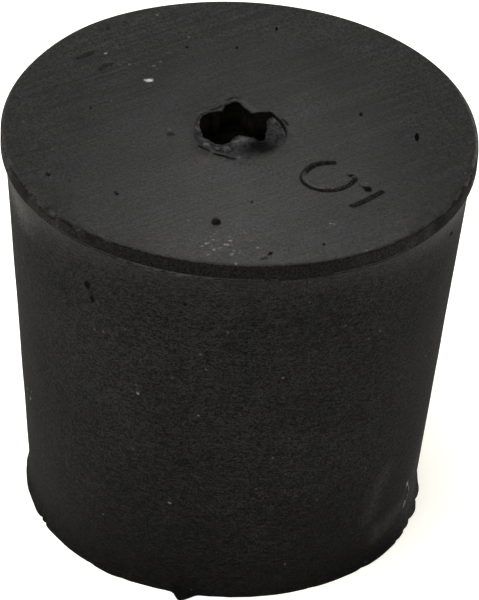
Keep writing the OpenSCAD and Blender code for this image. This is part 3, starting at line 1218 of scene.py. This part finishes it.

# %% Dust and painted highlights on the wide end
# Dust on the wide end: x, y, radius and strength; the flecks on the knot of the 5 and above a wart
# are painted highlights. Only the big smear is white; the other flecks are far smaller than the eye
# makes them, so they are scaled down
TOP_SMEAR = ((-5.47, 4.52, 0.15, 0.5), (-5.32, 4.54, 0.14, 0.6), (-5.6, 4.52, 0.1, 0.4))
FLECK_SIZE = 0.8
FLECK_SHARE = 0.3
TOP_DUST_AND_GLINTS = (
    (-5.2, 4.75, 0.08, 0.3), (-3.99, -0.42, 0.14, 0.16), (-8.04, 7.08, 0.1, 0.7),
    (-7.45, 7.85, 0.08, 0.15), (-5.28, 11.51, 0.1, 0.3), (-3.33, 9.36, 0.09, 0.2),
    (-6.62, 6.08, 0.09, 0.25), (-7.13, 5.97, 0.09, 0.12), (-6.24, 6.22, 0.08, 0.12),
    (-5.21, 6.06, 0.11, 0.22), (-4.83, 6.54, 0.1, 0.3), (-4.99, 5.76, 0.09, 0.15),
    (-4.42, 7.61, 0.16, 0.07), (-7.36, 4.31, 0.1, 0.08), (-6.02, 8.41, 0.12, 0.06),
    (-2.51, -9.44, 0.08, 0.2), (-1.09, -10.55, 0.1, 0.12), (-1.27, -10.79, 0.08, 0.12),
    (-1.15, -11.11, 0.09, 0.4), (-0.26, -10.79, 0.1, 0.2), (-0.19, -11.09, 0.1, 0.5),
    (-0.48, -11.5, 0.1, 0.6), (-0.32, -11.5, 0.09, 0.5), (-1.52, -11.49, 0.1, 0.5),
    (-1.4, -11.47, 0.07, 0.3), (-1.74, -11.77, 0.1, 0.2), (-1.18, -11.72, 0.08, 0.15),
    (-1.06, -12.05, 0.11, 0.4), (-0.82, -11.9, 0.09, 0.25), (-0.7, -11.81, 0.09, 0.2),
    (-1.35, -12.58, 0.09, 0.35), (-1.18, -12.42, 0.08, 0.2), (0.01, -12.06, 0.1, 0.25),
    (-0.08, -12.37, 0.11, 0.35), (-0.12, -12.5, 0.08, 0.2), (0.33, -12.06, 0.08, 0.2),
    (0.34, -12.28, 0.1, 0.2), (0.17, -13.25, 0.1, 0.4), (0.59, -10.3, 0.09, 0.15),
    (0.97, -10.96, 0.08, 0.12), (1.29, -11.64, 0.1, 0.35), (2.59, -11.7, 0.09, 0.12),
    (1.66, -11.31, 0.07, 0.08), (1.48, -11.73, 0.07, 0.08), (-12.29, -0.51, 0.08, 0.16),
    (5.42, -8.96, 0.09, 0.5), (5.24, -8.92, 0.08, 0.5), (7.18, -4.8, 0.12, 0.1),
    (7.19, -11.34, 0.09, 0.25), (12.71, -3.37, 0.09, 0.25),
)

top_dust_and_glints = [((x, y, top_z(x, y)), radius, strength) for x, y, radius, strength in TOP_SMEAR]
top_dust_and_glints += [((x, y, top_z(x, y)), FLECK_SIZE * radius, FLECK_SHARE * strength)
               for x, y, radius, strength in TOP_DUST_AND_GLINTS]
print(len(top_dust_and_glints), "specks on the wide end")

# %% The ground wide end
SCRATCH_TURN = math.radians(-36)
# The black of soot and of painted shade
SOOT_AND_SHADE_BLACK = (0.0003, 0.0003, 0.0003)

top_finish, board, shader = new_finish("rubber_ground_end")
place = object_place(board)
scratches = cloudy(object_place(board, (0.09, 3.4, 1.0), SCRATCH_TURN), 1.0, 3.0, 0.6)
fine_scratches = cloudy(object_place(board, (0.25, 9.0, 1.0), SCRATCH_TURN), 1.0, 2.0, 0.6)
patches = cloudy(place, 0.35, 3.0, 0.6)
grain = cloudy(object_place(board, (1.0, 0.65, 1.0)), 7.5, 2.0, 0.85)
tone = times(spread(patches, 0.3, 0.7, 0.85, 1.15), spread(scratches, 0.37, 0.63, 0.66, 1.34))
tone = times(tone, spread(grain, 0.32, 0.68, 0.16, 1.84))
# Painted shade: the far left and right of the wide end are a little darker than the middle
sideways = math_node("ABSOLUTE", part_of(place, "X"))
tone = times(tone, spread(sideways, 7.0, 12.5, 1.0, 0.82))
tint = blend(spread(cloudy(place, 0.6, 1.0, 0.5), 0.4, 0.6), (0.0277, 0.0283, 0.0268),
             (0.0277, 0.0277, 0.0301))
colour = blend(spread(tone, 0.0, 2.5), (0.0002, 0.0002, 0.0002), tint)
colour = blend(mark_of(board, "pale_and_highlight"), colour, (0.058, 0.057, 0.053))
soot_and_shade_share = times(mark_of(board, "soot_and_shade"), spread(grain, 0.35, 0.55, 0.5))
colour = blend(soot_and_shade_share, colour, SOOT_AND_SHADE_BLACK)
colour = blend(specks(board, top_dust_and_glints), colour, DUST_AND_SHEEN_COLOUR)
relief = plus(plus(times(fine_scratches, 0.4), grain), times(scratches, 0.5))
dress(shader, colour, spread(scratches, 0.3, 0.7, 0.4, 0.6), 0.13, relief, strength=1.0, depth=0.03)
print("wide end:", len(board.nodes), "nodes")

# %% The torn skin
torn_finish, board, shader = new_finish("rubber_torn_skin")
place = object_place(board)
crumbs = cloudy(place, 4.2, 4.0, 0.8)
pale_crumbs = times(mark_of(board, "pale_and_highlight"), spread(crumbs, 0.35, 0.6, 0.25))
tone = plus(times(spread(crumbs, 0.38, 0.62, 0.0, 1.1), 0.3), pale_crumbs)
torn_colour = blend(tone, (0.003, 0.003, 0.0031), (0.078, 0.077, 0.081))
# At the mouth's edge the skin is as light as the wide end beside it
colour = blend(spread(mark_of(board, "torn"), 0.5, 0.95), (0.02, 0.02, 0.0195), torn_colour)
colour = blend(mark_of(board, "soot_and_shade"), colour, SOOT_AND_SHADE_BLACK)
dress(shader, colour, spread(crumbs, 0.3, 0.7, 0.55, 0.8), 0.04, crumbs, strength=0.7, depth=0.12)
print("torn skin:", len(board.nodes), "nodes")

# %% Dust of the side, and painted shade in its pits
# Dust on the side: direction in degrees, height, radius and strength; the flecks are scaled down
SIDE_FLECK_SIZE = 0.8
SIDE_FLECK_SHARE = 0.75
SIDE_DUST = (
    (-122.8, 18.14, 0.08, 0.14), (-125.5, 18.03, 0.08, 0.1), (-116.4, 18.89, 0.07, 0.12),
    (-112.4, 17.03, 0.07, 0.1), (-96.8, 18.35, 0.08, 0.14), (-95.3, 17.31, 0.07, 0.1),
    (-113.0, 14.55, 0.1, 0.3), (-96.8, 13.84, 0.08, 0.18), (-119.5, 13.64, 0.08, 0.07),
    (-103.9, 16.3, 0.08, 0.07), (-90.3, 20.1, 0.07, 0.1), (-60.7, 19.84, 0.07, 0.12),
    (-49.8, 18.55, 0.08, 0.12), (-53.1, 18.29, 0.07, 0.1), (-75.9, 16.75, 0.08, 0.16),
    (-71.0, 22.08, 0.07, 0.12), (-77.0, 18.82, 0.07, 0.1), (-26.3, 13.83, 0.08, 0.12),
    (-104.0, 6.91, 0.09, 0.24), (-124.7, 4.28, 0.1, 0.14), (-114.5, 10.27, 0.07, 0.1),
    (-47.6, 8.14, 0.07, 0.1), (-62.7, 6.93, 0.08, 0.12), (-70.4, 2.35, 0.09, 0.12),
    (-76.7, 10.8, 0.07, 0.12), (-73.0, 9.47, 0.07, 0.1), (-80.6, 8.51, 0.07, 0.1),
    (-159.2, 8.23, 0.13, 0.35), (-162.1, 8.5, 0.09, 0.2), (-157.6, 9.0, 0.08, 0.15),
)
# Painted shade in two pits of the side: direction, height, radius and strength
SIDE_PIT_SHADE = ((-23.5, 22.15, 0.3, 0.6), (-126.9, 20.7, 0.22, 0.35))

side_specks = [(on_side(angle, z), SIDE_FLECK_SIZE * radius, SIDE_FLECK_SHARE * strength)
               for angle, z, radius, strength in SIDE_DUST]
side_pit_shade = [(on_side(angle, z), radius, strength) for angle, z, radius, strength in SIDE_PIT_SHADE]
print(len(side_specks), "specks on the side")

# %% The leathery side
# The black of the grain, also used for painted shade in the side's pits
GRAIN_AND_SHADE_BLACK = (0.0004, 0.0004, 0.0004)

side_finish, board, shader = new_finish("rubber_moulded_side")
place = object_place(board)
height = part_of(place, "Z")
patches = cloudy(place, 0.22, 3.0, 0.6)
scaly = object_place(board, (1, 1, 1.8))
grain = cloudy(scaly, 2.3, 4.0, 0.7)
fine_grain = cloudy(scaly, 7.5, 2.0, 0.7)
tone = times(spread(patches, 0.3, 0.7, 0.8, 1.2), spread(grain, 0.34, 0.66, 0.33, 1.67))
tone = times(tone, spread(fine_grain, 0.37, 0.63, 0.1, 1.9))
# Painted shade: the side is darker towards the foot
tone = times(tone, spread(height, 0.0, 11.0, 0.32))
warmth = spread(cloudy(place, 0.5, 2.0, 0.5), 0.35, 0.65)
light_rubber = blend(warmth, (0.0208, 0.0207, 0.0216), (0.0217, 0.021, 0.0191))
colour = blend(spread(tone, 0.0, 2.0), GRAIN_AND_SHADE_BLACK, light_rubber)
dust_and_sheen = math_node("MAXIMUM", specks(board, side_specks), scattered(place, 0.8, 0.08, 0.06))
# The pale marks add dust, and also the painted sheen in the cove and painted light at the left
mottled = times(spread(grain, 0.4, 0.6, 0.5), spread(fine_grain, 0.4, 0.6, 0.4))
dust_and_sheen = math_node("MAXIMUM", dust_and_sheen, times(mark_of(board, "pale_and_highlight"), mottled))
colour = blend(dust_and_sheen, colour, DUST_AND_SHEEN_COLOUR)
# The side's pits are darkened: painted shade
colour = blend(specks(board, side_pit_shade), colour, GRAIN_AND_SHADE_BLACK)
# The grain fades out in the smooth strip under the band, which is also a little glossier
matt = times(spread(height, 20.5, 23.2, 0.9, 0.66), spread(grain, 0.3, 0.7, 0.85, 1.05))
relief = times(plus(grain, times(fine_grain, 0.5)), spread(height, 20.3, 22.6, 1.0, 0.5))
dress(shader, colour, matt, 0.05, relief, strength=1.0, depth=0.2)
print("side:", len(board.nodes), "nodes")

# %% The smooth band
# This dark finish is also painted shade on the wide end, in pits and on raised marks
band_and_shade_finish, board, shader = new_finish("rubber_smooth_band_and_shade")
place = object_place(board)
smears = cloudy(place, 0.8, 3.0, 0.6)
grain = cloudy(place, 10.0, 2.0, 0.7)
tone = times(spread(smears, 0.3, 0.7, 0.88, 1.12), spread(grain, 0.34, 0.66, 0.0, 2.0))
colour = blend(spread(tone, 0.0, 2.0), GRAIN_AND_SHADE_BLACK, (0.0144, 0.0143, 0.0129))
bleached = times(mark_of(board, "pale_and_highlight"), spread(grain, 0.36, 0.64, 0.3, 1.5))
colour = blend(bleached, colour, (0.058, 0.055, 0.05))
soot_and_shade_share = times(mark_of(board, "soot_and_shade"), spread(grain, 0.35, 0.6, 0.5, 1.1))
colour = blend(soot_and_shade_share, colour, SOOT_AND_SHADE_BLACK)
dress(shader, colour, spread(smears, 0.3, 0.7, 0.72, 0.88), 0.03, plus(grain, smears), strength=0.8,
      depth=0.05)
print("band:", len(board.nodes), "nodes")

# %% The walls of the bore
bore_finish, board, shader = new_finish("rubber_bore_wall")
crumbs = cloudy(object_place(board), 4.5, 4.0, 0.7)
streaks = cloudy(object_place(board, (2.0, 2.0, 0.3)), 1.0, 2.0, 0.6)
tone = times(spread(crumbs, 0.35, 0.65, 0.4, 1.6), spread(streaks, 0.3, 0.7, 0.6, 1.4))
colour = blend(spread(tone, 0.0, 2.0), (0.002, 0.0019, 0.0017), (0.0165, 0.0152, 0.0125))
colour = blend(mark_of(board, "soot_and_shade"), colour, SOOT_AND_SHADE_BLACK)
dress(shader, colour, spread(streaks, 0.3, 0.7, 0.7, 0.9), 0.03, crumbs, strength=0.5, depth=0.06)
print("bore:", len(board.nodes), "nodes")

# %% Borders of the finishes
# The torn mouth lies inside this distance from the axis; a wart gets painted shade this far round its
# middle
MOUTH_REACH = 4.2
WART_REACH = 0.28


def band_top(angle):
    """Height at which the band ends: just under the edge, and lower and uneven where it is rubbed."""
    uneven = 0.35 * grain_round(angle, 24, 2.1)
    ragged = 0.04 * grain_round(angle, 70, 0.5)
    return min(24.975, 24.945 + ragged - rubbed(angle) * (0.22 - uneven))


def in_painted_shade(x, y, normal):
    """Whether a raised spot of the wide end gets the dark finish as painted shade: wart, strokes, near
    sides.
    """
    if min(math.dist((x, y), PIMPLE), math.dist((x, y), KNOT)) < WART_REACH:
        return True
    ragged = 0.21 + 0.14 * grain_at(x, y, 7, 2.2)
    if nearest_of((x, y), SHADED_STROKES) < ragged or (normal.y < -0.22 and x > -5):
        return True
    return normal.x < -0.2 and 3 < x < 4.2


print("band ends at the front at", round(band_top(-90.0), 3), "mm")

# %% Give each face its finish
stopper.data.materials.clear()
for finish in (side_finish, top_finish, band_and_shade_finish, bore_finish, torn_finish):
    stopper.data.materials.append(finish)
SIDE, TOP, BAND_AND_SHADE, BORE, TORN = range(5)


def mouth_finish(x, y, z, normal):
    """Which finish a face has inside the mouth or close to it."""
    # Walls are bore, except for the smooth wall at the back of the notch
    if z < 23.9 or (z < 24.97 and normal.z < 0.15):
        return BAND_AND_SHADE if z > 24.2 and y > 1.9 else BORE
    if z < 24.985 and nearest_of((x, y), MOUTH_CRACKS) < 0.1:
        return TORN
    return TORN if torn_share(x, y) > 0.5 else TOP


def finish_of(face):
    """Which finish a face has, by where its middle lies and which way it faces."""
    x, y, z = face.center / MM
    away = math.hypot(x, y)
    if away < MOUTH_REACH and z > 0.01:
        return mouth_finish(x, y, z, face.normal)
    if z < BAND_Z - 0.05 or away < MOUTH_REACH:
        return SIDE
    # The burr's upper side is as pale as the wide end
    if away > 13.4 and z < 24.2 and face.normal.z > 0.3:
        return TOP
    if away > RIM_REACH:
        return BAND_AND_SHADE if z < band_top(math.degrees(math.atan2(y, x))) and away > 12.9 else TOP
    above = z - top_z(x, y)
    # Pits get the dark finish inside, as painted shade
    if above < 0.01:
        return BAND_AND_SHADE if above < -0.04 else TOP
    # Shaded raised marks get the dark finish: painted shade
    return BAND_AND_SHADE if in_painted_shade(x, y, face.normal) else TOP


counts = [0, 0, 0, 0, 0]
for face in stopper.data.polygons:
    face.material_index = finish_of(face)
    counts[face.material_index] += 1
print("faces: side, top, band, bore, torn:", counts)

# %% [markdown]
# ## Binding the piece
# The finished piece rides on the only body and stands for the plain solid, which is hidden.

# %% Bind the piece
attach(stopper, "root")
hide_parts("stopper")
